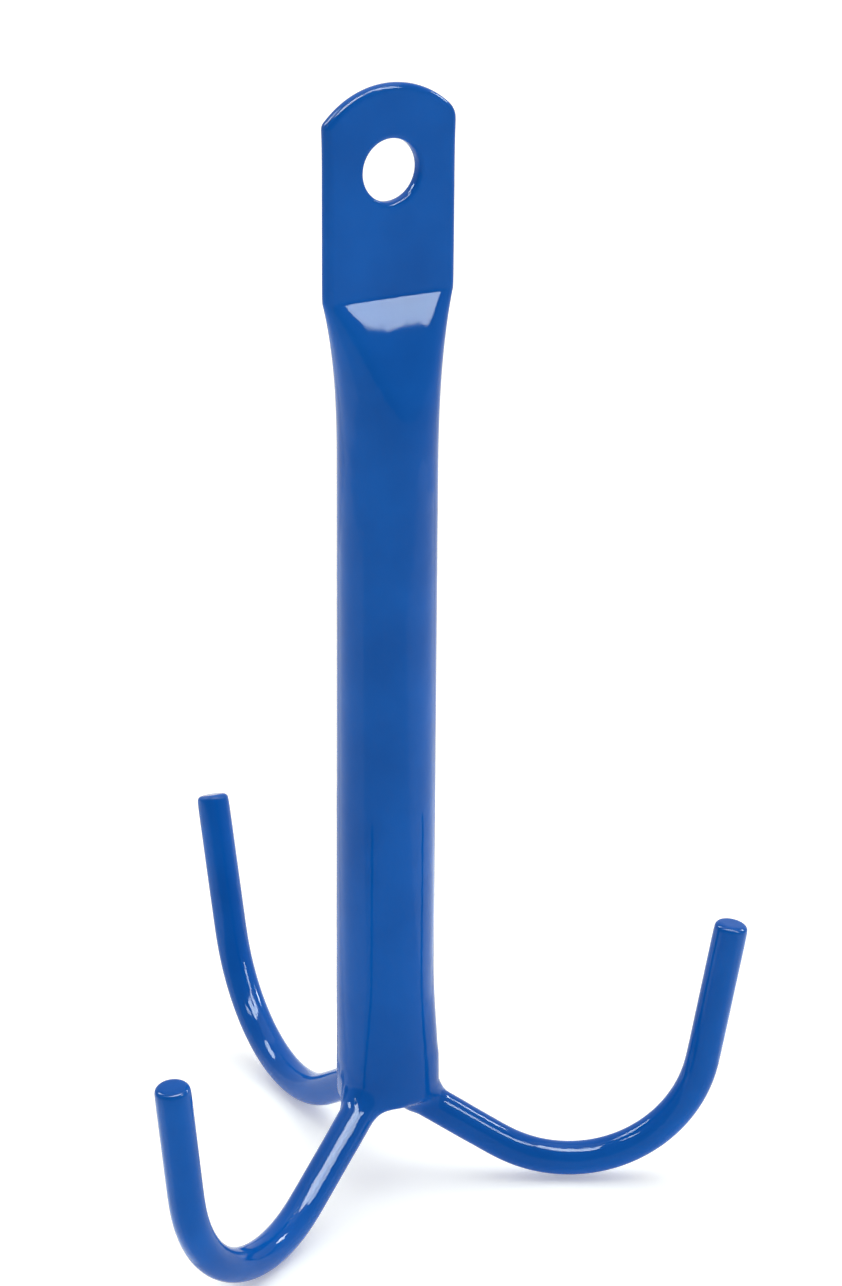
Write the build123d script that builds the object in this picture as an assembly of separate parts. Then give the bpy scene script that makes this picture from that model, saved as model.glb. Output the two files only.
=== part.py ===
"""Three-prong tack cleaning hook.

A round steel tube is pressed flat and pierced at the top, and pinched at the bottom round three bent rods.
Weld metal closes the mouth, and one plastic coating covers everything that shows.
Frame: origin at the centre of the hanging hole, +Z up, hole axis along Y, millimetres.
"""

from build123d import *

import os
from math import cos, degrees, pi, radians, sin, sqrt, tan

# ---- driving dimensions ----
TUBE_DIAMETER = 25.4
WALL = 1.6
ROD_DIAMETER = 8.0
COAT = 0.8
HEAD_COAT = 0.5  # the coating drains thinner on the flat head
MOUTH_COAT = 1.5  # and gathers thicker round the mouth

HEAD_RISE = 22.2  # top of the steel above the hole's centre
HEAD_ARCH_RADIUS = 25.1
HEAD_ARCH_SHIFT = 0.35  # the arch is cut a little to the right of the middle
HEAD_CORNER_LEFT = 2.5
HEAD_CORNER_RIGHT = 5.5
HOLE_DIAMETER = 17.6  # in the steel, before coating
EDGE_ROUND = 0.5  # on the cut edges of the head

PRESS_LINE_Z = -33.0  # where the pressed head starts to open out
SHOULDER_LENGTH = 43.0  # from the press line to the full round
PINCH_START_Z = -222.0
PINCH_END_Z = -257.0
PINCH = 9.0  # how much larger the radius of the sides is than that of the lobes at the mouth
MOUTH_Z = -260.6  # lower end of the tube
PLUG_TOP_Z = -254.0  # weld metal fills the mouth between these two heights
PLUG_BOTTOM_Z = -260.8

ROOT_REACH = 7.7  # of each rod from the stem's axis at the mouth
ROOT_BEND_RADIUS = 6.0
TAIL_TOP_Z = -222.0  # upper end of the rod inside the tube
TAIL_TOP_REACH = 6.6
ROD_GAP = 0.1  # between a rod and the tube pinched round it
TIP_ROUND = 0.9
SLEEVE_START = 20.0  # along the sloping run, where the coating of the hook starts
BEAD_RADIUS = 1.1
BEAD_HALF_ANGLE = 20.0

# azimuth, downward slope, reach and height of the lowest point of the centreline, bend radius,
# outward lean of the prong, tip height; bent by hand, so the hooks are alike but not equal
HOOKS = {
    "back": (87.4, 30.6, 58.0, -282.5, 43.8, 17.2, -213.4),
    "left": (-150.0, 28.7, 62.2, -282.5, 40.4, 9.6, -215.3),
    "right": (-30.6, 31.8, 51.5, -282.0, 37.4, 9.4, -210.7),
}

# ---- sizes that follow ----
TUBE_R = TUBE_DIAMETER / 2
ROD_R = ROD_DIAMETER / 2
HOLE_R = HOLE_DIAMETER / 2
MID_PERIMETER = pi * (TUBE_DIAMETER - WALL)  # the middle of the wall keeps its length where it is pressed
LOBE_AZIMUTHS = (90.0, 210.0, 330.0)
HEAD_HALF_WIDTH = (MID_PERIMETER - pi * WALL) / 4 + WALL
ROUND_Z = PRESS_LINE_Z - SHOULDER_LENGTH
SHORT_SIDE = 0.3  # half the arc that stands for a straight side once the section is round


# ---- tube sections ----
def arc_about(centre, radius, start, end):
    """Arc about centre from angle start to angle end, in degrees."""
    angles = [radians(a) for a in (start, (start + end) / 2, end)]
    return ThreePointArc(*[(centre[0] + radius * cos(a), centre[1] + radius * sin(a)) for a in angles])


def flattened_section(half_thickness, grow):
    """Two half rounds joined by two straights: the tube pressed to this half thickness."""
    half_flat = (MID_PERIMETER - 2 * pi * (half_thickness - WALL / 2)) / 4
    r = half_thickness + grow
    if half_flat > SHORT_SIDE:
        right = arc_about((half_flat, 0), r, -90, 90)
        left = arc_about((-half_flat, 0), r, 90, 270)
        back = Line(right @ 1, left @ 0)
        front = Line(left @ 1, right @ 0)
    else:
        gap = degrees(SHORT_SIDE / r)
        right = arc_about((0, 0), r, -90 + gap, 90 - gap)
        back = arc_about((0, 0), r, 90 - gap, 90 + gap)
        left = arc_about((0, 0), r, 90 + gap, 270 - gap)
        front = arc_about((0, 0), r, 270 - gap, 270 + gap)
    return Wire([right, back, left, front])


def pinched_section(share, grow):
    """Three lobes and three wider sides, arcs that meet smoothly: share 0 is the round tube, 1 is the mouth.

    The two radii keep the same sum, so the outline keeps its length as the tube is pinched.
    """
    spread = share * PINCH
    offset = spread / sqrt(3)
    lobe_r = TUBE_R - spread / 2 + grow
    side_r = TUBE_R + spread / 2 + grow
    edges = []
    for azimuth in LOBE_AZIMUTHS:
        lobe = (offset * cos(radians(azimuth)), offset * sin(radians(azimuth)))
        opposite = (-offset * cos(radians(azimuth + 60)), -offset * sin(radians(azimuth + 60)))
        edges.append(arc_about(lobe, lobe_r, azimuth - 30, azimuth + 30))
        edges.append(arc_about(opposite, side_r, azimuth + 30, azimuth + 90))
    return Wire(edges)


def at_height(section, z):
    return Pos(0, 0, z) * section


# ---- lengths of the stem, each one solid with no hollow; grow moves the surface outward ----
def pressed_head(grow):
    """Flat head with half-round sides, an arched top with rounded corners, and the hanging hole."""
    half_width = HEAD_HALF_WIDTH + grow
    radius = HEAD_ARCH_RADIUS + grow
    centre_z = HEAD_RISE - HEAD_ARCH_RADIUS
    right_z = centre_z + sqrt(radius**2 - (half_width - HEAD_ARCH_SHIFT) ** 2)
    left_z = centre_z + sqrt(radius**2 - (half_width + HEAD_ARCH_SHIFT) ** 2)
    foot = Line((-half_width, PRESS_LINE_Z), (half_width, PRESS_LINE_Z))
    right = Line((half_width, PRESS_LINE_Z), (half_width, right_z))
    top = (HEAD_ARCH_SHIFT, centre_z + radius)
    arch = ThreePointArc((half_width, right_z), top, (-half_width, left_z))
    left = Line((-half_width, left_z), (-half_width, PRESS_LINE_Z))
    outline = make_face([foot, right, arch, left])
    for x, z, corner_radius in ((half_width, right_z, HEAD_CORNER_RIGHT), (-half_width, left_z, HEAD_CORNER_LEFT)):
        vertex = outline.vertices().sort_by_distance((x, z, 0))[0]
        outline = fillet(vertex, corner_radius + grow)
    outline -= Circle(HOLE_R - grow)
    thick = 2 * (WALL + grow)
    plate = extrude(Plane.XZ * outline, thick / 2, both=True)
    cut_edges = [
        e
        for e in plate.edges()
        if abs(abs(e.center().Y) - thick / 2) < 0.01 and e.geom_type == GeomType.CIRCLE
    ]
    plate = fillet(cut_edges, EDGE_ROUND + grow / 2)
    rolled_z = HEAD_RISE + grow + 5
    rolled = extrude(
        Face(at_height(flattened_section(WALL, grow), PRESS_LINE_Z)), rolled_z - PRESS_LINE_Z, dir=(0, 0, 1)
    )
    return plate & rolled


def shoulder(grow_top, grow_bottom, first=0.0):
    """The pressed tube opening out from flat to round, from this share of the way down."""
    steps = 9
    sections = []
    for i in range(steps + 1):
        share = first + (1 - first) * i / steps
        half_thickness = WALL + (TUBE_R - WALL) * (1 - (1 - share) ** 2)
        grow = grow_top + share * (grow_bottom - grow_top)
        z = PRESS_LINE_Z - share * SHOULDER_LENGTH
        sections.append(at_height(flattened_section(half_thickness, grow), z))
    return Solid.make_loft(sections)


def round_length(grow):
    return Pos(0, 0, (ROUND_Z + PINCH_START_Z) / 2) * Cylinder(TUBE_R + grow, ROUND_Z - PINCH_START_Z)


def pinched_end(grow_top, grow_bottom, end_z=MOUTH_Z):
    """The round tube easing into three lobes, then straight down to the mouth."""
    steps = 8
    sections = []
    for i in range(steps + 1):
        share = (1 - cos(pi * i / steps)) / 2
        z = PINCH_START_Z + (PINCH_END_Z - PINCH_START_Z) * i / steps
        grow = grow_top + share * (grow_bottom - grow_top)
        sections.append(at_height(pinched_section(share, grow), z))
    straight = Face(at_height(pinched_section(1, grow_bottom), end_z))
    return Solid.make_loft(sections) + extrude(straight, PINCH_END_Z - end_z, dir=(0, 0, 1))


# ---- rods and weld beads ----
def in_plane_of(name, reach, z):
    azimuth = radians(HOOKS[name][0])
    return (reach * cos(azimuth), reach * sin(azimuth), z)


def hook_corners(name):
    """Root corner, lower corner and tip of the hook's centreline before its bends, as (reach, z)."""
    _, slope, low_reach, low_z, bend, lean, tip_z = HOOKS[name]
    down, out = radians(slope), radians(lean)
    centre_z = low_z + bend
    bend_start = (low_reach - bend * sin(down), centre_z - bend * cos(down))
    bend_end = (low_reach + bend * cos(out), centre_z - bend * sin(out))
    root_z = bend_start[1] + (bend_start[0] - ROOT_REACH) * tan(down)
    run = bend * tan((down + pi / 2 - out) / 2)
    lower = (bend_start[0] + run * cos(down), bend_start[1] - run * sin(down))
    tip = (bend_end[0] + (tip_z - bend_end[1]) * tan(out), tip_z)
    return (ROOT_REACH, root_z), lower, tip


def rod(name, grow=0.0, tail_z=TAIL_TOP_Z):
    """Bent rod from its tail inside the tube to the rounded end of its prong."""
    *_, bend, lean, _ = HOOKS[name]
    root, lower, tip = hook_corners(name)
    out = radians(lean)
    tip = (tip[0] + grow * sin(out), tip[1] + grow * cos(out))
    rise = (tail_z - root[1]) / (TAIL_TOP_Z - root[1])
    tail = (root[0] + rise * (TAIL_TOP_REACH - root[0]), tail_z)
    corners = [in_plane_of(name, *p) for p in (tail, root, lower, tip)]
    path = FilletPolyline(*corners, radius=[ROOT_BEND_RADIUS, bend])
    start = Plane(origin=path @ 0, z_dir=path % 0)
    bar = sweep(start * Circle(ROD_R + grow), path=path)
    top_edge = bar.edges().filter_by(GeomType.CIRCLE).sort_by_distance(path @ 1)[0]
    return fillet(top_edge, TIP_ROUND + grow)


def beyond_sleeve(name):
    """Block that holds all of the hook past the start of its own coating."""
    root = hook_corners(name)[0]
    down = radians(HOOKS[name][1])
    start = (root[0] + SLEEVE_START * cos(down), root[1] - SLEEVE_START * sin(down))
    ahead = Vector(in_plane_of(name, cos(down), -sin(down)))
    base = Plane(origin=in_plane_of(name, *start), z_dir=ahead)
    return extrude(base * Rectangle(300, 300), 200)


def weld_bead(name, grow=0.0):
    """Bead along the edge of the mouth where the tube crosses the top of the rod."""
    root = hook_corners(name)[0]
    down = radians(HOOKS[name][1])
    azimuth = HOOKS[name][0]
    lobe_r = TUBE_R - PINCH / 2
    lobe_reach = PINCH / sqrt(3)
    rod_top_z = root[1] + ROD_R / cos(down) - (lobe_reach + lobe_r - ROOT_REACH) * tan(down)
    at = Pos(*in_plane_of(name, lobe_reach, rod_top_z + 0.3)) * Rot(0, 0, azimuth - BEAD_HALF_ANGLE)
    start = Plane(origin=(lobe_r, 0, 0), x_dir=(1, 0, 0), z_dir=(0, 1, 0))
    ring = revolve(start * Circle(BEAD_RADIUS + grow), Axis.Z, 2 * BEAD_HALF_ANGLE)
    return at * ring


def mouth_plug(grow=0.0):
    section = Face(at_height(pinched_section(1, grow - WALL - ROD_GAP), PLUG_BOTTOM_Z - grow))
    return extrude(section, PLUG_TOP_Z - PLUG_BOTTOM_Z + grow, dir=(0, 0, 1))


# ---- assembly ----
def solid_of(shape):
    """The one solid that a boolean leaves, ignoring slivers."""
    return max(shape.solids(), key=lambda s: s.volume)


rods = {name: solid_of(rod(name)) for name in HOOKS}
all_rods = rods["back"] + rods["left"] + rods["right"]

head_steel = pressed_head(0)
stem_steel = head_steel + shoulder(0, 0) + round_length(0) + pinched_end(0, 0)
hollow = shoulder(-WALL, -WALL, first=0.04) + round_length(-WALL) + pinched_end(-WALL, -WALL, end_z=MOUTH_Z - 1)
column_tube = solid_of(stem_steel - hollow - all_rods)
weld_plug = solid_of(mouth_plug() - all_rods - column_tube)
welds = {name: solid_of(weld_bead(name) - stem_steel - all_rods) for name in HOOKS}

root_steel = pinched_end(0, 0) + mouth_plug() + all_rods
root_coated = pinched_end(COAT, MOUTH_COAT, end_z=MOUTH_Z - COAT) + mouth_plug(COAT)
coated_hooks = {}
for name in HOOKS:
    coated = rod(name, COAT, tail_z=-250.0)
    far = beyond_sleeve(name)
    coated_hooks[name] = solid_of((coated & far) - rods[name])
    root_coated += coated - far
    root_coated += weld_bead(name, COAT)
    root_steel += weld_bead(name)

parts = {
    "column_tube": column_tube,
    "hook_rod_back": rods["back"],
    "hook_rod_left": rods["left"],
    "hook_rod_right": rods["right"],
    "weld_back": welds["back"],
    "weld_left": welds["left"],
    "weld_right": welds["right"],
    "weld_plug": weld_plug,
    "coating_head": solid_of(pressed_head(HEAD_COAT) - head_steel),
    "coating_neck": solid_of(shoulder(HEAD_COAT, COAT) - shoulder(0, 0)),
    "coating_column": solid_of(round_length(COAT) - round_length(0)),
    "coating_base": solid_of(root_coated - root_steel),
    "coating_hook_back": coated_hooks["back"],
    "coating_hook_left": coated_hooks["left"],
    "coating_hook_right": coated_hooks["right"],
}

os.makedirs("parts", exist_ok=True)
for name, shape in parts.items():
    shape.label = name
    export_step(shape, f"parts/{name}.step")
    box = shape.bounding_box()
    print(f"{name:20s} {shape.volume / 1000:8.3f} cm3  z {box.min.Z:8.2f} {box.max.Z:8.2f}", shape.is_valid)
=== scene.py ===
"""Three-prong tack cleaning hook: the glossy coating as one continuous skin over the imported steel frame."""

import bpy
import numpy as np
from mathutils import Matrix, Vector


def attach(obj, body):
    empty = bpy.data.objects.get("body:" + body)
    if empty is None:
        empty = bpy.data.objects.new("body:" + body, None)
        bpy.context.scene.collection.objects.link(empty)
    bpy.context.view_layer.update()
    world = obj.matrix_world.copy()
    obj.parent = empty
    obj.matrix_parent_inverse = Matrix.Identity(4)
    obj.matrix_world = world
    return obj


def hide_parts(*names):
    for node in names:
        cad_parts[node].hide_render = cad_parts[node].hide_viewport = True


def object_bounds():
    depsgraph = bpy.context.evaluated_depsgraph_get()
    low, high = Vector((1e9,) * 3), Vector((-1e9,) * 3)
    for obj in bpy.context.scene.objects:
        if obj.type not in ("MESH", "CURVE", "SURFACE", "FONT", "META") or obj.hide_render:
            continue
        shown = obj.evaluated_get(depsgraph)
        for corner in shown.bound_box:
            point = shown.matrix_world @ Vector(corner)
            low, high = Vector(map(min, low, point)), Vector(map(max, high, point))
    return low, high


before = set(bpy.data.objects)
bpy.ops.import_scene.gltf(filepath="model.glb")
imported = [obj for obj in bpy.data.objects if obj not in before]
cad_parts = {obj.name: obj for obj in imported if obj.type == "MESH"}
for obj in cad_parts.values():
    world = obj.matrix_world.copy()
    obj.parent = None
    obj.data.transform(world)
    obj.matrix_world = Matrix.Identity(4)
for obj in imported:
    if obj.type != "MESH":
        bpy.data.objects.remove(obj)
cad_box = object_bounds()

MM = 0.001

# ---- coated sizes, millimetres, with the hanging hole's centre as origin ----
TUBE_R = 12.7
WALL = 1.6
COAT = 0.8
HEAD_COAT = 0.5
STEM_R = TUBE_R + COAT
FACE_Y = WALL + HEAD_COAT  # half the coated thickness of the pressed head
HEAD_HALF_WIDTH = 19.04 + HEAD_COAT  # the tube's own half width when it is pressed flat, and its coat
ARCH_TOP = 22.7
ARCH_R = 25.6
ARCH_SHIFT = 0.35  # the arch is cut a little to the right of the middle
CORNER_LEFT = 3.0
CORNER_RIGHT = 6.0
CUT_EDGE_R = 1.4  # rounding of the arch's cut edge under the coating
HOLE_R = 8.3
HOLE_RIM = 1.1
PRESS_Z = -33.0
ROUND_Z = -76.0
PINCH_START_Z = -222.0
PINCH_END_Z = -257.0
PINCH_DEPTH = 0.8  # how far the lobes stand out and the sides stand in at the mouth
FLARE = 0.7  # the coating gathers thicker round the mouth
MOUTH_Z = -261.5
MOUTH_EDGE_R = 2.0
ROD_R = 4.0 + COAT
ROOT_REACH = 7.7  # from the stem's axis to where the straight slope and the tail would cross
ROOT_BEND = 6.0
TAIL_LENGTH = 22.0  # of rod followed up inside the stem
SLOPE_REACH = 40.0  # of rod followed down the slope, past where the surfaces run together
TIP_ROUND = 1.7
TIP_CORE_R = 1.5
CUT_FADE = 3.0  # length of side over which the rolled edge turns into the cut edge

# ---- how the surfaces run together near the mouth ----
TIGHT_BLEND = 4.0  # in the notches outside
WIDE_BLEND = 9.0  # between the hooks
OUTER_REACH = 13.0  # the blend is tight from here outward
INNER_REACH = 7.0  # and wide from here inward
ROD_BLEND = 5.0
RUN_BLEND = 0.9
RUN_SUNK = 0.4  # share of a run's radius that lies under the surface
RUN_SLIDE = 1.6  # how far a run leans out along the hook
SETTLE_TOP = -247.0  # the fine surface is settled below this height
SETTLE_REACH = 25.0  # and within this reach of the axis
SETTLE_FADE = 3.0  # distance over which the settling fades in

# ---- how the skin is divided ----
RING = 48
THIRD = RING // 3
SIDE = 6  # segments across each rounded side of the pressed section
RIGHT = (RING // 2 - SIDE) // 2  # the vertex where the right side starts, at the front
LEFT = RING - RIGHT  # the vertex where the left side ends, at the front
LEG_RING = 24
SHOULDER_SHARES = (0.016, 0.05, 0.1, 0.16, 0.23, 0.31, 0.4, 0.5, 0.6, 0.7, 0.8, 0.89, 0.96)
FACE_SHARES = (0.0, 0.07, 0.25, 0.5, 0.75, 0.93)  # from the hole's rim out to the outline
SEAM_SHARES = (0.2, 0.45, 0.72)  # from the mouth's edge in to its centre
LEG_SHARES = (0.12, 0.26, 0.42, 0.58, 0.74, 0.88)  # from the mouth's outline to the round rod
LOOSE_Z = -248.0  # vertices below this are laid on the run-together surface
LEG_START = 18.0  # distance down the slope where the skin is round again
BEND_STEPS = 17

# name, azimuth, downward slope, reach and height of the lowest point, bend radius, outward lean, tip height,
# in the order in which the hooks take up the thirds of the mouth
HOOKS = (
    ("right", -30.6, 31.8, 51.5, -282.0, 37.4, 9.4, -210.7),
    ("back", 87.4, 30.6, 58.0, -282.5, 43.8, 17.2, -213.4),
    ("left", -150.0, 28.7, 62.2, -282.5, 40.4, 9.6, -215.3),
)


class Mesh:
    """Vertices and faces gathered in millimetres."""

    def __init__(self):
        self.verts = []
        self.faces = []

    def add(self, point):
        self.verts.append([float(v) for v in point])
        return len(self.verts) - 1

    def add_ring(self, points):
        return [self.add(p) for p in points]

    def bridge(self, lower, upper):
        """Joins two rings of the same length with a band of faces."""
        count = len(lower)
        for i in range(count):
            j = (i + 1) % count
            self.faces.append((lower[i], lower[j], upper[j], upper[i]))

    def extend(self, upper, points):
        """Adds a ring of points, joins it below the upper ring and returns it."""
        lower = self.add_ring(points)
        self.bridge(lower, upper)
        return lower


def ring_angle(k):
    """Turn of vertex k in a ring; vertex 0 is at the front of the stem, or at the bottom of the hole."""
    return np.radians(-90 + 360 * k / RING)


# ---- sections of the stem ----
def stadium_point(half_flat, r, u):
    """Point at share u of the outline of two half rounds and two flats, from the middle of the front."""
    total = 4 * half_flat + 2 * np.pi * r
    s = (u % 1.0) * total
    if s <= half_flat:
        return (s, -r)
    s -= half_flat
    if s <= np.pi * r:
        a = s / r - np.pi / 2
        return (half_flat + r * np.cos(a), r * np.sin(a))
    s -= np.pi * r
    if s <= 2 * half_flat:
        return (half_flat - s, r)
    s -= 2 * half_flat
    if s <= np.pi * r:
        a = s / r + np.pi / 2
        return (-half_flat + r * np.cos(a), r * np.sin(a))
    s -= np.pi * r
    return (-half_flat + s, -r)


def flat_share(k, half_flat, r):
    """Share of the outline at vertex k when each of its half rounds holds SIDE segments."""
    total = 4 * half_flat + 2 * np.pi * r
    marks = [0, RIGHT, RIGHT + SIDE, LEFT - SIDE, LEFT, RING]
    lengths = np.cumsum([0, half_flat, np.pi * r, 2 * half_flat, np.pi * r, half_flat])
    return float(np.interp(k, marks, lengths)) / total


def shoulder_ring(share):
    """Ring at this share of the way from the pressed flat to the round stem."""
    steel_r = WALL + (TUBE_R - WALL) * (1 - (1 - share) ** 2)
    half_flat = np.pi / 2 * (TUBE_R - steel_r)
    r = steel_r + HEAD_COAT + share * (COAT - HEAD_COAT)
    z = PRESS_Z + share * (ROUND_Z - PRESS_Z)
    even = share**0.7  # the vertices are evenly spread before the section is quite round
    points = []
    for k in range(RING):
        u = (1 - even) * flat_share(k, half_flat, r) + even * k / RING
        points.append(stadium_point(half_flat, r, u))
    if share > 0:
        points = rounder(np.array(points))
    return [(x, y, z) for x, y in points]


def rounder(points):
    """Eases the section's flats into its rounds, keeping its width and thickness."""
    passes = 3
    size = np.abs(points).max(axis=0)
    for _ in range(passes):
        points = (np.roll(points, 1, axis=0) + 2 * points + np.roll(points, -1, axis=0)) / 4
    return points * size / np.abs(points).max(axis=0)


def lobed_ring(share, z):
    """Ring of the pinched end, a smoothly rounded triangle: share 0 is round, 1 is the mouth."""
    depth = share * PINCH_DEPTH
    points = []
    for k in range(RING):
        turn = ring_angle(k)
        lobes = 3 * (turn + np.pi / 6)
        support = STEM_R + share * FLARE + depth * np.cos(lobes)
        aside = -3 * depth * np.sin(lobes)
        x = support * np.cos(turn) - aside * np.sin(turn)
        y = support * np.sin(turn) + aside * np.cos(turn)
        points.append((x, y, z))
    return points


def pinch_share(z):
    t = np.clip((PINCH_START_Z - z) / (PINCH_START_Z - PINCH_END_Z), 0.0, 1.0)
    return (1 - np.cos(np.pi * t)) / 2


# ---- head ----
def corner_arc(radius, side):
    """Centre of the rounded corner between a straight side and the arch, and its turn from the side."""
    arch_z = ARCH_TOP - ARCH_R
    x = HEAD_HALF_WIDTH - radius - side * ARCH_SHIFT
    z = arch_z + np.sqrt((ARCH_R - radius) ** 2 - x**2)
    tilt = np.arctan2(z - arch_z, x)
    return side * (HEAD_HALF_WIDTH - radius), z, tilt


def cut_share(z, corner_z):
    """0 where the side is rolled, rising to 1 at the corner, where the cut begins."""
    return float(np.clip((z - corner_z + CUT_FADE) / CUT_FADE, 0, 1))


def head_outline():
    """31 silhouette points from the lower right round to the lower left: point, outward normal, cut."""
    out = []
    right_x, right_z, right_tilt = corner_arc(CORNER_RIGHT, 1)
    left_x, left_z, left_tilt = corner_arc(CORNER_LEFT, -1)
    for z in np.linspace(PRESS_Z, right_z, 8):
        out.append(((HEAD_HALF_WIDTH, z), (1.0, 0.0), cut_share(z, right_z)))
    for a in np.linspace(0, right_tilt, 4)[1:]:
        n = (np.cos(a), np.sin(a))
        out.append(((right_x + CORNER_RIGHT * n[0], right_z + CORNER_RIGHT * n[1]), n, 1.0))
    for a in np.linspace(right_tilt, np.pi - left_tilt, 11)[1:]:
        n = (np.cos(a), np.sin(a))
        out.append(((ARCH_SHIFT + ARCH_R * n[0], ARCH_TOP - ARCH_R + ARCH_R * n[1]), n, 1.0))
    for a in np.linspace(np.pi - left_tilt, np.pi, 4)[1:]:
        n = (np.cos(a), np.sin(a))
        out.append(((left_x + CORNER_LEFT * n[0], left_z + CORNER_LEFT * n[1]), n, 1.0))
    for z in np.linspace(left_z, PRESS_Z, 8)[1:]:
        out.append(((-HEAD_HALF_WIDTH, z), (-1.0, 0.0), cut_share(z, left_z)))
    return out


def edge_profile(cut):
    """Seven points across the head's edge as (outward, y): a half round, or a cut edge with round corners."""
    rolled = [(FACE_Y * np.cos(a), FACE_Y * np.sin(a)) for a in np.radians(np.arange(-90, 91, 180 // SIDE))]
    r = CUT_EDGE_R
    d = r * np.sqrt(0.5)
    half = [(0.0, -FACE_Y), (d, -FACE_Y + r - d), (r, -FACE_Y + r), (r, 0.0)]
    square = half + [(o, -y) for o, y in reversed(half[:3])]
    return [((1 - cut) * a[0] + cut * b[0], (1 - cut) * a[1] + cut * b[1]) for a, b in zip(rolled, square)]


def build_head(mesh, press_ring):
    """The pierced flat head, joined to the ring at the press line."""
    rows = [press_ring[RIGHT : RIGHT + SIDE + 1]]
    for (x, z), (nx, nz), cut in head_outline()[1:-1]:
        inset = (1 - cut) * FACE_Y + cut * CUT_EDGE_R
        row = [(x + nx * (out - inset), y, z + nz * (out - inset)) for out, y in edge_profile(cut)]
        rows.append(mesh.add_ring(row))
    rows.append([press_ring[LEFT - j] for j in range(SIDE + 1)])
    for a, b in zip(rows, rows[1:]):
        for j in range(SIDE):
            mesh.faces.append((a[j], a[j + 1], b[j + 1], b[j]))
    front_rim = face_grid(mesh, press_ring, [row[0] for row in rows], front=True)
    back_rim = face_grid(mesh, press_ring, [row[SIDE] for row in rows], front=False)
    build_bore(mesh, front_rim, back_rim)


def build_bore(mesh, front_rim, back_rim):
    """The hole's wall between its two rounded rims."""
    bore = [front_rim]
    r = HOLE_RIM
    d = r * np.sqrt(0.5)
    half = [(r - d, -FACE_Y + r - d), (0.0, -FACE_Y + r), (0.0, 0.0)]
    across = half + [(out, -y) for out, y in reversed(half[:2])]
    for out, y in across:
        ring = []
        for k in range(RING):
            a = ring_angle(k)
            ring.append((np.cos(a) * (HOLE_R + out), y, np.sin(a) * (HOLE_R + out)))
        bore.append(mesh.add_ring(ring))
    bore.append(back_rim)
    for a, b in zip(bore, bore[1:]):
        mesh.bridge(a, b)


def face_grid(mesh, press_ring, upper, front):
    """One flat face of the head between its outline and the hole; returns the ring at the hole's rim."""
    y = -FACE_Y if front else FACE_Y
    if front:
        foot = press_ring[LEFT:] + press_ring[: RIGHT + 1]
    else:
        foot = press_ring[RIGHT + SIDE : LEFT - SIDE + 1][::-1]
    border = foot[RIGHT:] + upper[1:-1] + foot[:RIGHT]
    rings = []
    for t in FACE_SHARES:
        ring = []
        for k in range(RING):
            a = ring_angle(k)
            rim = np.array((np.cos(a), 0, np.sin(a))) * (HOLE_R + HOLE_RIM)
            edge = np.array(mesh.verts[border[k]])
            p = (1 - t) * rim + t * edge
            ring.append((p[0], y, p[2]))
        rings.append(mesh.add_ring(ring))
    rings.append(border)
    for a, b in zip(rings, rings[1:]):
        if front:
            mesh.bridge(b, a)
        else:
            mesh.bridge(a, b)
    return rings[0]


# ---- hooks ----
class Hook:
    """Centreline of one bent rod in its own upright plane."""

    def __init__(self, azimuth, slope, low_reach, low_z, bend, lean, tip_z):
        self.azimuth = azimuth
        a = np.radians(azimuth)
        self.out = np.array((np.cos(a), np.sin(a), 0.0))
        self.side = np.array((-np.sin(a), np.cos(a), 0.0))
        self.down, self.lean, self.bend = np.radians(slope), np.radians(lean), bend
        self.centre = (low_reach, low_z + bend)
        start = (low_reach - bend * np.sin(self.down), self.centre[1] - bend * np.cos(self.down))
        end = (low_reach + bend * np.cos(self.lean), self.centre[1] - bend * np.sin(self.lean))
        self.slope_dir = np.array((np.cos(self.down), -np.sin(self.down)))
        self.prong_dir = np.array((np.sin(self.lean), np.cos(self.lean)))
        self.root = np.array((ROOT_REACH, start[1] + (start[0] - ROOT_REACH) * np.tan(self.down)))
        self.slope_length = (start[0] - ROOT_REACH) / np.cos(self.down)
        self.turn = self.down + np.pi / 2 - self.lean
        self.prong_length = (tip_z - end[1]) / np.cos(self.lean) + COAT
        self.end = np.array(end)

    def at(self, reach, z):
        return self.out * reach + np.array((0, 0, z))

    def on_slope(self, s):
        return self.root + self.slope_dir * s, self.slope_dir

    def on_bend(self, angle):
        a = -np.pi / 2 - self.down + angle
        p = np.array(self.centre) + self.bend * np.array((np.cos(a), np.sin(a)))
        return p, np.array((-np.sin(a), np.cos(a)))

    def on_prong(self, s):
        return self.end + self.prong_dir * s, self.prong_dir

    def ring(self, point, direction, r=ROD_R):
        """Circle square to the rod, its ninth vertex on the upper or inner side of the hook."""
        centre = self.at(*point)
        inner = self.at(-direction[1], direction[0])
        points = []
        for j in range(LEG_RING):
            a = np.radians((j - THIRD // 2) * 360 / LEG_RING)
            points.append(centre + r * (np.cos(a) * inner + np.sin(a) * self.side))
        return points

    def root_line(self):
        """Centreline from inside the stem through the root bend and down the slope."""
        turn = np.pi / 2 - self.down
        run = ROOT_BEND * np.tan(turn / 2)
        rise = np.array((0.0, 1.0))
        start = self.root + rise * run
        centre = start + np.array((ROOT_BEND, 0.0))
        line = [self.root + rise * TAIL_LENGTH]
        for a in np.linspace(0, turn, 7):
            line.append(centre + ROOT_BEND * np.array((-np.cos(a), -np.sin(a))))
        line.append(self.root + self.slope_dir * SLOPE_REACH)
        return [self.at(*p) for p in line]


hooks = {name: Hook(*row) for name, *row in HOOKS}


# ---- distance to the coated surface near the mouth ----
def smooth_step(t):
    return t * t * (3 - 2 * t)


def smooth_min(a, b, k):
    h = np.maximum(k - np.abs(a - b), 0.0) / k
    return np.minimum(a, b) - h * h * k / 4


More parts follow.
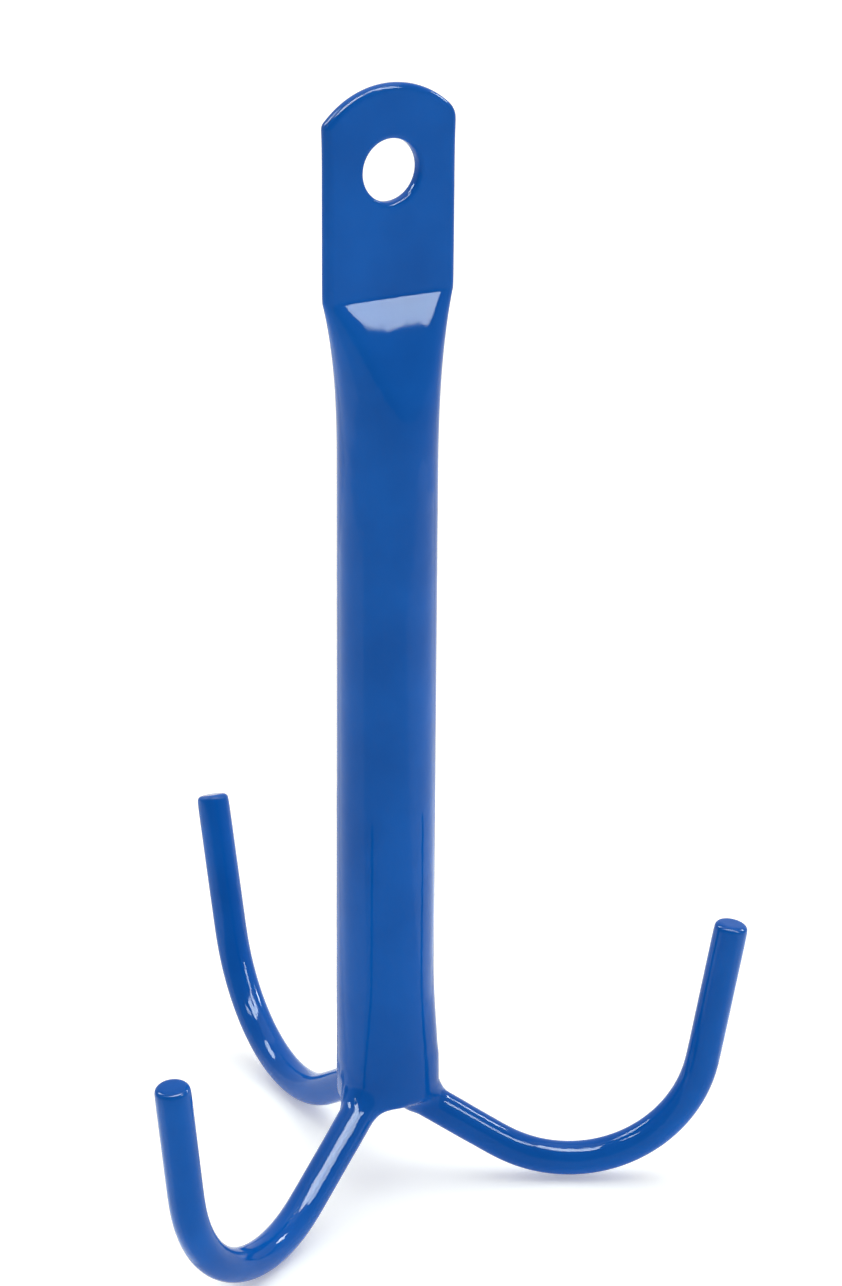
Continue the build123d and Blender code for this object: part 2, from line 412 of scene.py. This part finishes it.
def segment_distance(p, a, b):
    ab = b - a
    t = np.clip(((p - a) @ ab) / (ab @ ab), 0, 1)
    return np.linalg.norm(p - a - t[:, None] * ab, axis=1)


def stem_distance(p):
    """Distance to the pinched end with its rounded lower edge."""
    share = pinch_share(p[:, 2])
    depth = share * PINCH_DEPTH
    azimuth = np.arctan2(p[:, 1], p[:, 0])
    reach = np.hypot(p[:, 0], p[:, 1])
    least_reach = 3.0
    most_lean = 0.9
    turn = azimuth.copy()
    for _ in range(5):
        lean = 3 * depth * np.sin(3 * (turn + np.pi / 6)) / np.maximum(reach, least_reach)
        turn = azimuth + np.arcsin(np.clip(lean, -most_lean, most_lean))
    support = STEM_R + share * FLARE + depth * np.cos(3 * (turn + np.pi / 6))
    across = reach * np.cos(azimuth - turn) - support
    q = np.stack((across + MOUTH_EDGE_R, MOUTH_Z - p[:, 2] + MOUTH_EDGE_R), axis=1)
    return np.minimum(q.max(axis=1), 0) + np.linalg.norm(np.maximum(q, 0), axis=1) - MOUTH_EDGE_R


def rod_distance(p, hook):
    line = hook.root_line()
    near = np.full(len(p), 1e9)
    for a, b in zip(line, line[1:]):
        near = np.minimum(near, segment_distance(p, a, b))
    return near - ROD_R


# runs of coating at the left hook's root: azimuth from the hook's own, upper and lower height, radius
RUNS = (
    (-40, -251.5, -258.5, 0.9),
    (-27, -252.5, -261.0, 0.7),
    (-16, -256.0, -262.0, 0.6),
)


def coated_distance(p):
    """Stem and rods run together: widely between the hooks, tightly in the notches outside."""
    reach = np.hypot(p[:, 0], p[:, 1])
    inner = np.clip((OUTER_REACH - reach) / (OUTER_REACH - INNER_REACH), 0.0, 1.0)
    blend = TIGHT_BLEND + (WIDE_BLEND - TIGHT_BLEND) * smooth_step(inner)
    first, second, third = [rod_distance(p, hook) for hook in hooks.values()]
    rods = smooth_min(smooth_min(first, second, ROD_BLEND), third, ROD_BLEND)
    return smooth_min(stem_distance(p), rods, blend)


def run_distance(p):
    hook = hooks["left"]
    near = np.full(len(p), 1e9)
    for turn, top, bottom, r in RUNS:
        a = np.radians(hook.azimuth + turn)
        foot = np.array((np.cos(a), np.sin(a), 0)) * (STEM_R + PINCH_DEPTH + FLARE - r * RUN_SUNK)
        start = foot + np.array((0, 0, top))
        end = foot + hook.out * RUN_SLIDE + np.array((0, 0, bottom))
        near = np.minimum(near, segment_distance(p, start, end) - r)
    return near


def full_distance(p):
    """The coated surface with its runs."""
    return smooth_min(coated_distance(p), run_distance(p), RUN_BLEND)


def project(p, distance, rounds):
    """Moves points onto the surface where distance is zero."""
    step = 0.02
    least_slope = 0.2
    for _ in range(rounds):
        d = distance(p)
        sides = [(distance(p + step * axis), distance(p - step * axis)) for axis in np.eye(3)]
        slope = np.stack([(ahead - behind) / (2 * step) for ahead, behind in sides], axis=1)
        size = np.maximum((slope**2).sum(axis=1), least_slope)
        p = p - slope * (d / size)[:, None]
    return p


# ---- the whole skin ----
def build_skin():
    """The coarse skin, and the vertices that are to be laid on the run-together surface."""
    mesh = Mesh()
    ring = mesh.add_ring(shoulder_ring(0.0))
    build_head(mesh, ring)
    for share in SHOULDER_SHARES:
        ring = mesh.extend(ring, shoulder_ring(share))
    for z in np.linspace(ROUND_Z - 1, PINCH_START_Z, 14):
        ring = mesh.extend(ring, lobed_ring(0.0, z))
    for z in np.linspace(PINCH_START_Z, LOOSE_Z, 9)[1:]:
        ring = mesh.extend(ring, lobed_ring(pinch_share(z), z))
    loose = []
    for drop in (2, 4, 6, 8):
        z = LOOSE_Z - drop
        ring = mesh.extend(ring, lobed_ring(pinch_share(z), z))
        loose += ring
    mouth = ring
    centre = mesh.add((0, 0, MOUTH_Z))
    loose.append(centre)
    seams = []
    for k in (0, THIRD, 2 * THIRD):
        start = np.array(mesh.verts[mouth[k]])
        seam = []
        for t in SEAM_SHARES:
            p = (1 - t) * start
            p[2] = MOUTH_Z
            seam.append(mesh.add(p))
        seams.append(seam)
        loose += seam
    for i, hook in enumerate(hooks.values()):
        loose += build_leg(mesh, hook, mouth, seams, centre, i)
    return mesh, loose


def build_leg(mesh, hook, mouth, seams, centre, i):
    """One hook from its share of the mouth to its rounded tip; returns the vertices near the mouth."""
    outer = [mouth[(THIRD * i + j) % RING] for j in range(THIRD + 1)]
    ring = outer + seams[(i + 1) % 3] + [centre] + seams[i][::-1]
    first = [np.array(mesh.verts[v]) for v in ring]
    target = hook.ring(*hook.on_slope(LEG_START))
    loose = []
    for t in LEG_SHARES:
        ring = mesh.extend(ring, [(1 - t) * a + t * b for a, b in zip(first, target)])
        loose += ring
    straight = hook.prong_length - TIP_ROUND
    stations = [hook.on_slope(s) for s in np.linspace(LEG_START, hook.slope_length, 4)[:-1]]
    stations += [hook.on_bend(hook.turn * k / BEND_STEPS) for k in range(BEND_STEPS + 1)]
    stations += [hook.on_prong(s) for s in np.linspace(0, straight, 6)[1:]]
    for point, direction in stations:
        ring = mesh.extend(ring, hook.ring(point, direction))
    close_tip(mesh, hook, ring, straight)
    return loose


def close_tip(mesh, hook, ring, straight):
    """The prong's rounded end."""
    for a in np.radians((30, 60, 90)):
        r = ROD_R - TIP_ROUND + TIP_ROUND * np.cos(a)
        point, direction = hook.on_prong(straight + TIP_ROUND * np.sin(a))
        ring = mesh.extend(ring, hook.ring(point, direction, r))
    point, direction = hook.on_prong(hook.prong_length)
    ring = mesh.extend(ring, hook.ring(point, direction, TIP_CORE_R))
    tip = mesh.add(hook.at(*point))
    for j in range(LEG_RING):
        mesh.faces.append((ring[(j + 1) % LEG_RING], ring[j], tip))


def relax(mesh, loose, rounds=40):
    """Evens out the vertices near the mouth while they stay on the coated surface."""
    points = np.array(mesh.verts)
    near = [set() for _ in mesh.verts]
    for face in mesh.faces:
        for a, b in zip(face, face[1:] + face[:1]):
            near[a].add(b)
            near[b].add(a)
    loose = sorted(set(loose))
    points[loose] = project(points[loose], coated_distance, 6)
    for _ in range(rounds):
        average = np.array([points[list(near[v])].mean(axis=0) for v in loose])
        moved = points[loose] + 0.5 * (average - points[loose])
        points[loose] = project(moved, coated_distance, 2)
    mesh.verts = points.tolist()


def to_object(mesh, name):
    """The gathered mesh as a Blender object, in metres."""
    data = bpy.data.meshes.new(name)
    data.from_pydata([[c * MM for c in v] for v in mesh.verts], [], mesh.faces)
    obj = bpy.data.objects.new(name, data)
    bpy.context.scene.collection.objects.link(obj)
    return obj


def subdivided(obj, levels):
    """The same object with its Catmull-Clark subdivision applied."""
    modifier = obj.modifiers.new("smooth", "SUBSURF")
    modifier.levels = levels
    modifier.render_levels = levels
    modifier.subdivision_type = "CATMULL_CLARK"
    depsgraph = bpy.context.evaluated_depsgraph_get()
    data = bpy.data.meshes.new_from_object(obj.evaluated_get(depsgraph))
    obj.modifiers.clear()
    obj.data = data
    return obj


def settle_on_surface(obj):
    """Puts the fine vertices near the mouth on the surface with its runs."""
    data = obj.data
    flat = np.empty(len(data.vertices) * 3)
    data.vertices.foreach_get("co", flat)
    points = flat.reshape(-1, 3) / MM
    reach = np.hypot(points[:, 0], points[:, 1])
    below = (SETTLE_TOP - points[:, 2]) / SETTLE_FADE
    within = (SETTLE_REACH - reach) / SETTLE_FADE
    chosen = (below > 0) & (within > 0)
    weight = np.clip(below, 0, 1) * np.clip(within, 0, 1)
    moved = project(points[chosen], full_distance, 3)
    w = weight[chosen][:, None]
    points[chosen] = (1 - w) * points[chosen] + w * moved
    data.vertices.foreach_set("co", (points * MM).ravel())
    data.update()


# ---- materials ----
def node_material(name):
    material = bpy.data.materials.new(name)
    material.use_nodes = True
    tree = material.node_tree
    shader = tree.nodes["Principled BSDF"]
    return material, tree, shader


def noise(tree, scale, detail):
    coords = tree.nodes.new("ShaderNodeTexCoord")
    texture = tree.nodes.new("ShaderNodeTexNoise")
    texture.inputs["Scale"].default_value = scale
    texture.inputs["Detail"].default_value = detail
    tree.links.new(coords.outputs["Object"], texture.inputs["Vector"])
    return texture.outputs["Fac"]


def mapped(tree, value, low, high, from_low=0.3, from_high=0.7):
    """The value moved from its own range to low and high."""
    node = tree.nodes.new("ShaderNodeMapRange")
    node.inputs["From Min"].default_value = from_low
    node.inputs["From Max"].default_value = from_high
    node.inputs["To Min"].default_value = low
    node.inputs["To Max"].default_value = high
    tree.links.new(value, node.inputs["Value"])
    return node.outputs["Result"]


def ramp(tree, value, stops):
    """A blend between two colours, each given with its place on the value's scale."""
    node = tree.nodes.new("ShaderNodeValToRGB")
    for stop, (position, colour) in zip(node.color_ramp.elements, stops):
        stop.position = position
        stop.color = (*colour, 1.0)
    tree.links.new(value, node.inputs["Fac"])
    return node.outputs["Color"]


def bump(tree, value, strength, distance, under=None):
    node = tree.nodes.new("ShaderNodeBump")
    node.inputs["Strength"].default_value = strength
    node.inputs["Distance"].default_value = distance
    tree.links.new(value, node.inputs["Height"])
    if under is not None:
        tree.links.new(under, node.inputs["Normal"])
    return node.outputs["Normal"]


def coating_material():
    """Thick glossy dip coating: deep blue, slightly uneven in tone, with faint orange peel."""
    material, tree, shader = node_material("blue_coating")
    tone = noise(tree, 38.0, 3.0)
    colour = ramp(tree, tone, [(0.35, (0.0018, 0.082, 0.375)), (0.65, (0.0032, 0.100, 0.440))])
    tree.links.new(colour, shader.inputs["Base Color"])
    tree.links.new(mapped(tree, noise(tree, 210.0, 4.0), 0.04, 0.07), shader.inputs["Roughness"])
    shader.inputs["IOR"].default_value = 1.5
    shader.inputs["Specular IOR Level"].default_value = 0.10
    wide = bump(tree, noise(tree, 160.0, 1.0), 0.14, 0.0006)
    fine = bump(tree, noise(tree, 900.0, 2.0), 0.035, 0.0002, wide)
    tree.links.new(fine, shader.inputs["Normal"])
    return material


def steel_material():
    """Drawn steel with faint grain and mill scale."""
    material, tree, shader = node_material("drawn_steel")
    tone = noise(tree, 120.0, 6.0)
    colour = ramp(tree, tone, [(0.35, (0.33, 0.34, 0.36)), (0.7, (0.52, 0.53, 0.55))])
    tree.links.new(colour, shader.inputs["Base Color"])
    shader.inputs["Metallic"].default_value = 1.0
    tree.links.new(mapped(tree, noise(tree, 600.0, 3.0), 0.28, 0.45), shader.inputs["Roughness"])
    tree.links.new(bump(tree, noise(tree, 1500.0, 2.0), 0.1, 0.0002), shader.inputs["Normal"])
    return material


def weld_material():
    """Rough, darkened weld metal."""
    material, tree, shader = node_material("weld_metal")
    tone = noise(tree, 300.0, 5.0)
    colour = ramp(tree, tone, [(0.35, (0.10, 0.09, 0.085)), (0.7, (0.32, 0.31, 0.30))])
    tree.links.new(colour, shader.inputs["Base Color"])
    shader.inputs["Metallic"].default_value = 0.8
    shader.inputs["Roughness"].default_value = 0.55
    tree.links.new(bump(tree, noise(tree, 500.0, 4.0), 0.5, 0.0005), shader.inputs["Normal"])
    return material


def floor_material():
    """Pale matt floor with a faint light of its own, so that it stays white up to the object."""
    material, tree, shader = node_material("pale_floor")
    tone = noise(tree, 0.8, 1.0)
    colour = ramp(tree, tone, [(0.3, (0.945, 0.905, 0.85)), (0.7, (0.965, 0.925, 0.87))])
    tree.links.new(colour, shader.inputs["Base Color"])
    shader.inputs["Roughness"].default_value = 0.6
    shader.inputs["Specular IOR Level"].default_value = 0.2
    shader.inputs["Emission Color"].default_value = (1.0, 0.975, 0.94, 1.0)
    shader.inputs["Emission Strength"].default_value = 0.31
    return material


# ---- make the object ----
skin_mesh, near_mouth = build_skin()
relax(skin_mesh, near_mouth)
skin = subdivided(to_object(skin_mesh, "coating_skin"), 2)
settle_on_surface(skin)
skin.data.polygons.foreach_set("use_smooth", [True] * len(skin.data.polygons))
skin.data.materials.clear()
skin.data.materials.append(coating_material())
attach(skin, "root")
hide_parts(*[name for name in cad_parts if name.startswith("coating_")])

steel = steel_material()
weld = weld_material()
for name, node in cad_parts.items():
    if name.startswith("coating_"):
        continue
    finish = weld if name.startswith("weld_") else steel
    node.data.materials.clear()
    node.data.materials.append(finish)


# ---- stage, light and camera ----
LIGHT_TINT = (0.84, 0.97, 1.0)
FLOOR_GAP = 0.0002
FLOOR_HALF = 6.0
CARD_REACH = 0.42
CARD_LIFT = 0.002

# lights that only show in the gloss: name, place, size, power, outline
SOFTBOXES = (
    ("front_right_softbox", (0.74, -1.08, 1.10), (0.40, 1.03), 42.0, "ELLIPSE"),
    ("back_left_softbox", (-0.78, 1.06, 1.10), (0.40, 1.03), 38.0, "ELLIPSE"),
    ("left_softbox", (-1.15, 0.05, 0.95), (0.2, 0.4), 10.0, "RECTANGLE"),
    ("right_softbox", (1.3, -0.1, 0.62), (0.3, 0.3), 14.0, "RECTANGLE"),
    ("overhead_softbox", (-0.10, -0.40, 1.55), (1.5, 0.6), 150.0, "RECTANGLE"),
)


def add_floor():
    z = cad_box[0][2] - FLOOR_GAP
    data = bpy.data.meshes.new("floor")
    half = FLOOR_HALF
    corners = [(-half, -half, z), (half, -half, z), (half, half, z), (-half, half, z)]
    data.from_pydata(corners, [], [(0, 1, 2, 3)])
    floor = bpy.data.objects.new("floor", data)
    bpy.context.scene.collection.objects.link(floor)
    data.materials.append(floor_material())


def add_softbox(name, position, size, power, shape="RECTANGLE", shading=False, aim=(0.0, 0.0, -0.15)):
    """Flat light turned to a point, the stem's middle by default; without shading only the gloss shows it."""
    light = bpy.data.lights.new(name, "AREA")
    light.shape = shape
    light.size, light.size_y = size
    light.energy = power
    light.color = LIGHT_TINT
    lamp = bpy.data.objects.new(name, light)
    lamp.location = position
    lamp.rotation_euler = (Vector(aim) - Vector(position)).to_track_quat("-Z", "Y").to_euler()
    lamp.visible_diffuse = shading
    lamp.visible_camera = False
    bpy.context.scene.collection.objects.link(lamp)


def add_world():
    """White surroundings, dimmer on the side that the front of the object faces."""
    world = bpy.data.worlds.new("studio")
    world.use_nodes = True
    tree = world.node_tree
    coords = tree.nodes.new("ShaderNodeTexCoord")
    facing = tree.nodes.new("ShaderNodeVectorMath")
    facing.operation = "DOT_PRODUCT"
    facing.inputs[1].default_value = (-0.64, -0.77, 0.0)
    tree.links.new(coords.outputs["Generated"], facing.inputs[0])
    strength = mapped(tree, facing.outputs["Value"], 0.95, 0.34, -0.3, 0.8)
    background = tree.nodes["Background"]
    background.inputs["Color"].default_value = (0.975, 1.0, 0.985, 1.0)
    tree.links.new(strength, background.inputs["Strength"])
    bpy.context.scene.world = world


def add_camera():
    """Long lens, looking slightly down on the object from the front left."""
    heading, pitch, roll = np.radians((30.752, 19.465, 0.449))
    ahead = Vector((np.sin(heading) * np.cos(pitch), np.cos(heading) * np.cos(pitch), -np.sin(pitch)))
    level = ahead.cross(Vector((0, 0, 1))).normalized()
    above = level.cross(ahead)
    right = level * np.cos(roll) + above * np.sin(roll)
    up = above * np.cos(roll) - level * np.sin(roll)
    data = bpy.data.cameras.new("camera")
    data.sensor_width = 36.0
    data.lens = 109.57
    data.shift_x = -0.00182
    data.shift_y = -0.01206
    data.clip_start = 0.01
    camera = bpy.data.objects.new("camera", data)
    turn = Matrix((right, up, -ahead)).transposed()
    camera.matrix_world = Matrix.Translation((-0.4956, -0.8521, 0.2239)) @ turn.to_4x4()
    bpy.context.scene.collection.objects.link(camera)
    bpy.context.scene.camera = camera


def add_lights():
    """One soft light from above, the softboxes seen in the gloss, and two low cards that face up."""
    for name, position, size, power, shape in SOFTBOXES:
        add_softbox(name, position, size, power, shape)
    add_softbox("top_softbox", (0.30, 0.0, 1.7), (2.0, 1.8), 19.0, shading=True)
    for side, heading in (("right", -25.0), ("left", 143.0)):
        turn = np.radians(heading)
        spot = (CARD_REACH * np.cos(turn), CARD_REACH * np.sin(turn), cad_box[0][2] + CARD_LIFT)
        add_softbox(f"{side}_low_card", spot, (0.5, 0.6), 0.8, aim=(spot[0], spot[1], 1.0))


add_floor()
add_world()
add_lights()
add_camera()
bpy.context.scene.view_settings.view_transform = "Standard"
